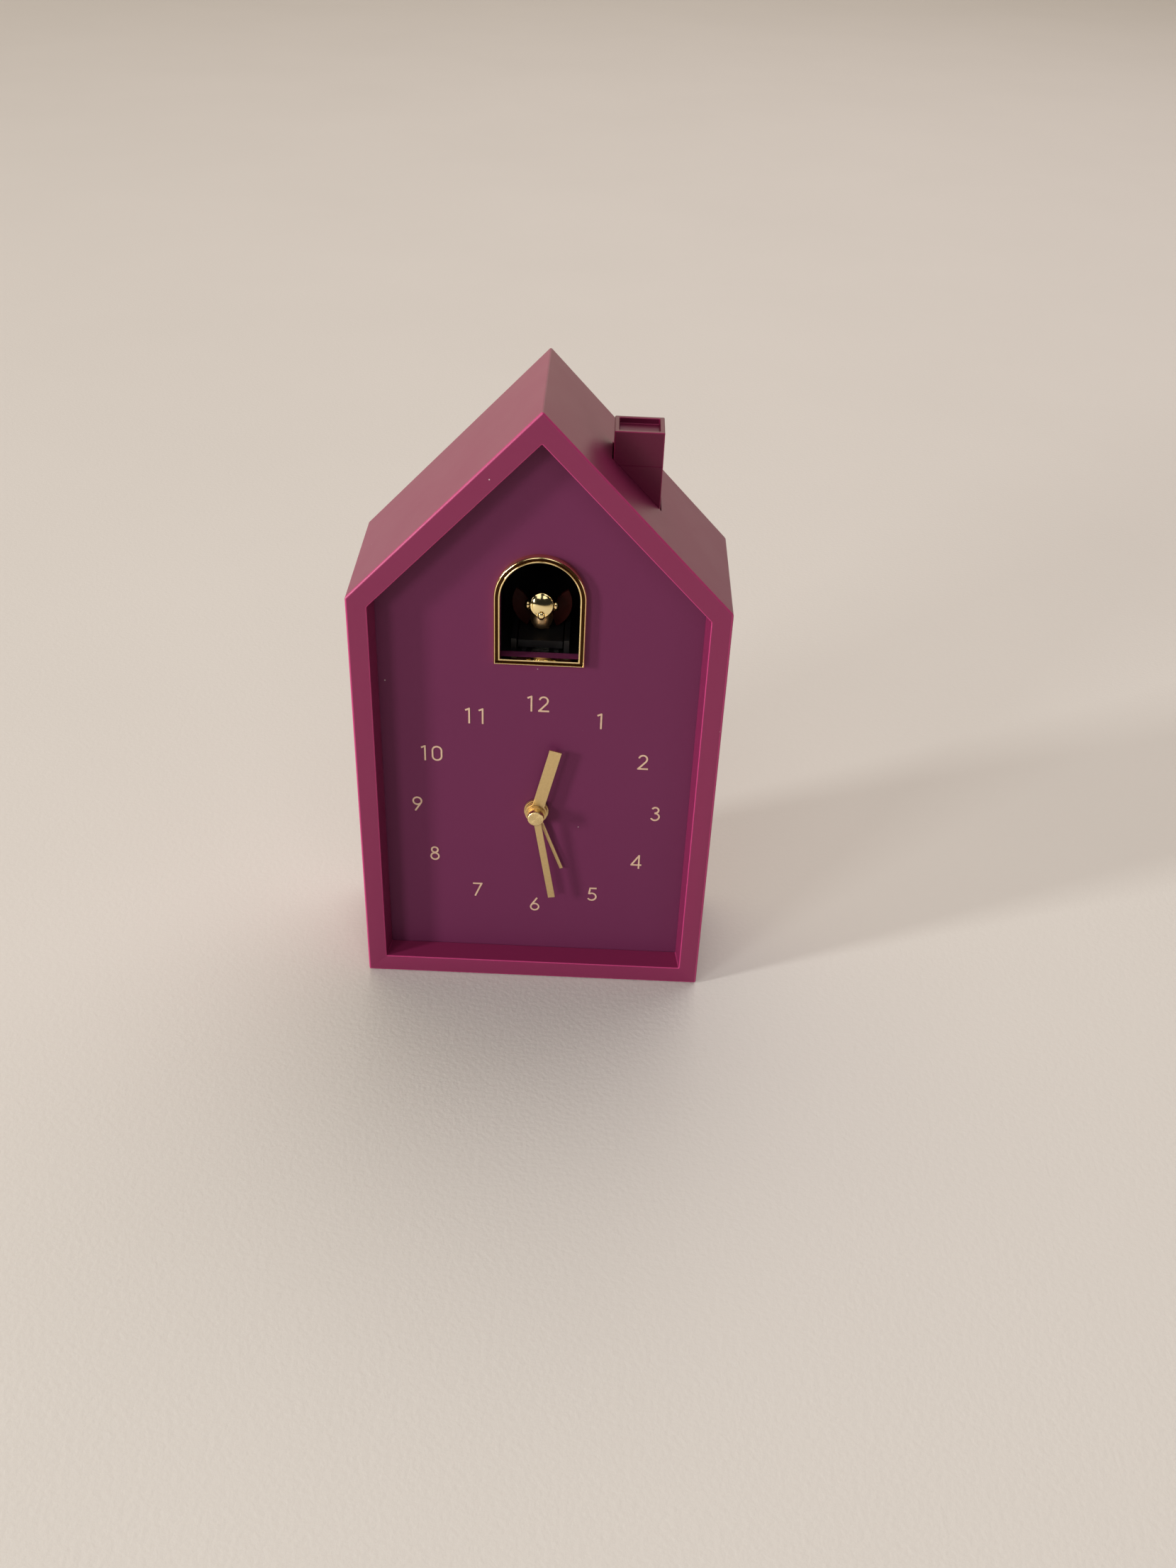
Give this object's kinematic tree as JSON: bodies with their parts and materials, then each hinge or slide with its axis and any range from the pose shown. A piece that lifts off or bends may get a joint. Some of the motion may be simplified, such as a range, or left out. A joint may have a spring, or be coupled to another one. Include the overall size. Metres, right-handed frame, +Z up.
{
  "type": "cuckoo clock",
  "caption": "House-shaped table cuckoo alarm clock: recessed dial with hands, arched bird window with a bird that slides out, chimney snooze button and rear battery door.",
  "frame": {"origin": "middle of the base, on the plane that the rubber feet stand on", "axes": "+X to the right of the dial as it is read, -Y out of the dial towards the reader, +Z up"},
  "size_m": [0.127, 0.06, 0.22],
  "materials": {
    "case_plastic": "satin moulded ABS with a fine texture",
    "dial_plastic": "fine matt",
    "back_plastic": "fine matt",
    "dial_print": "pad print",
    "gold_trim": "mirror gold plating",
    "hand_metal": "satin gold",
    "black_plastic": "moulded",
    "knob_plastic": "knurled",
    "nylon": "moulded",
    "steel": "plated",
    "brass": "stamped",
    "magnet": "sintered",
    "copper": "enamelled winding",
    "circuit": "solder mask",
    "cone_paper": "pressed paper",
    "battery_jacket": "plain sleeve",
    "foot_rubber": "moulded"
  },
  "bodies": {
    "case": {"house_shell": "case_plastic", "dial_panel": "dial_plastic", "dial_numerals": "dial_print", "window_frame": "gold_trim", "bird_chamber": "black_plastic", "drive_bracket": "nylon", "drive_axle": "steel", "bird_motor": "steel", "movement_front": "black_plastic", "movement_rear": "black_plastic", "stator": "steel", "coil": "copper", "movement_board": "circuit", "chimney_guide": "black_plastic", "snooze_spring": "steel", "snooze_board": "circuit", "snooze_switch": "black_plastic", "sound_board": "circuit", "switch_bodies": "steel", "speaker_basket": "steel", "speaker_cone": "cone_paper", "back_cover": "back_plastic", "battery_tray": "black_plastic", "batteries": "battery_jacket", "battery_contacts": "steel", "battery_springs": "steel", "cover_screws": "steel", "panel_screws": "steel", "drive_screws": "steel", "rubber_feet": "foot_rubber"},
    "bird": {"bird_carriage": "black_plastic", "bird_body": "gold_trim", "bird_wing_left": "gold_trim", "bird_wing_right": "gold_trim"},
    "rack_gear": {"rack_gear": "nylon"},
    "motor_shaft": {"motor_pinion": "brass"},
    "minute": {"minute_arbor": "brass", "minute_hand": "hand_metal", "hand_cap": "gold_trim"},
    "hour": {"hour_wheel": "nylon", "hour_hand": "hand_metal"},
    "motion": {"motion_wheel": "nylon", "time_knob": "knob_plastic"},
    "alarm": {"alarm_wheel": "nylon", "alarm_hand": "hand_metal"},
    "alarm_setting": {"alarm_arbor": "nylon", "alarm_knob": "knob_plastic"},
    "centre_wheel": {"centre_wheel": "brass"},
    "third_wheel": {"third_wheel": "brass"},
    "second_wheel": {"second_wheel": "brass"},
    "intermediate_wheel": {"intermediate_wheel": "brass"},
    "rotor": {"rotor": "magnet"},
    "chimney": {"chimney_button": "case_plastic"},
    "alarm_switch": {"alarm_switch": "nylon"},
    "mode_switch": {"mode_switch": "nylon"},
    "battery_door": {"battery_door": "back_plastic"}
  },
  "joints": [
    {"name": "bird_slide", "type": "slide", "parent": "case", "child": "bird", "axis": [0, -1, 0], "range_m": [0, 0.018]},
    {"name": "rack_gear_turn", "type": "hinge", "parent": "case", "child": "rack_gear", "pos_m": [0, 0.0018, 0.12223], "axis": [1, 0, 0], "range_deg": [-2, 217]},
    {"name": "motor_turn", "type": "hinge", "parent": "case", "child": "motor_shaft", "pos_m": [0, 0.0018, 0.11218], "axis": [1, 0, 0], "range_deg": [-650, 2]},
    {"name": "minute_turn", "type": "hinge", "parent": "case", "child": "minute", "pos_m": [0, -0.02, 0.0725], "axis": [0, 1, 0], "continuous": true},
    {"name": "hour_turn", "type": "hinge", "parent": "case", "child": "hour", "pos_m": [0, -0.02, 0.0725], "axis": [0, 1, 0], "continuous": true},
    {"name": "motion_turn", "type": "hinge", "parent": "case", "child": "motion", "pos_m": [-0.01205, -0.01, 0.0725], "axis": [0, 1, 0], "continuous": true},
    {"name": "alarm_turn", "type": "hinge", "parent": "case", "child": "alarm", "pos_m": [0, -0.02, 0.0725], "axis": [0, 1, 0], "continuous": true},
    {"name": "alarm_set_turn", "type": "hinge", "parent": "case", "child": "alarm_setting", "pos_m": [0.01205, -0.01, 0.0725], "axis": [0, 1, 0], "continuous": true},
    {"name": "rotor_spin", "type": "hinge", "parent": "case", "child": "rotor", "pos_m": [0.0163, -0.007, 0.06285], "axis": [0, 1, 0], "continuous": true},
    {"name": "intermediate_turn", "type": "hinge", "parent": "case", "child": "intermediate_wheel", "pos_m": [0.0163, -0.008, 0.0544], "axis": [0, 1, 0], "continuous": true},
    {"name": "second_turn", "type": "hinge", "parent": "case", "child": "second_wheel", "pos_m": [0.00725, -0.009, 0.0544], "axis": [0, 1, 0], "continuous": true},
    {"name": "third_turn", "type": "hinge", "parent": "case", "child": "third_wheel", "pos_m": [0, -0.011, 0.06165], "axis": [0, 1, 0], "continuous": true},
    {"name": "centre_turn", "type": "hinge", "parent": "case", "child": "centre_wheel", "pos_m": [0, -0.012, 0.0725], "axis": [0, 1, 0], "continuous": true},
    {"name": "chimney_press", "type": "slide", "parent": "case", "child": "chimney", "axis": [0, 0, -1], "range_m": [0, 0.003], "stiffness_N_per_m": 250, "springref_m": -0.004, "deforming": ["snooze_spring"]},
    {"name": "alarm_switch_slide", "type": "slide", "parent": "case", "child": "alarm_switch", "axis": [0, 0, 1], "range_m": [0, 0.004]},
    {"name": "mode_switch_slide", "type": "slide", "parent": "case", "child": "mode_switch", "axis": [0, 0, 1], "range_m": [0, 0.006]},
    {"name": "battery_door_open", "type": "hinge", "parent": "case", "child": "battery_door", "pos_m": [0, 0.0268, 0.0114], "axis": [-1, 0, 0], "range_deg": [0, 95]}
  ],
  "couplings": [
    {"joint": "rack_gear_turn", "follows": "bird_slide", "rad_per_m": 208.33},
    {"joint": "motor_turn", "follows": "bird_slide", "rad_per_m": -625},
    {"joint": "hour_turn", "follows": "minute_turn", "ratio": 0.083333},
    {"joint": "motion_turn", "follows": "minute_turn", "ratio": -0.33333},
    {"joint": "alarm_set_turn", "follows": "alarm_turn", "ratio": -3},
    {"joint": "intermediate_turn", "follows": "rotor_spin", "ratio": -0.16667},
    {"joint": "second_turn", "follows": "rotor_spin", "ratio": 0.033333},
    {"joint": "third_turn", "follows": "rotor_spin", "ratio": -0.0044444},
    {"joint": "centre_turn", "follows": "rotor_spin", "ratio": 0.00055556}
  ]
}
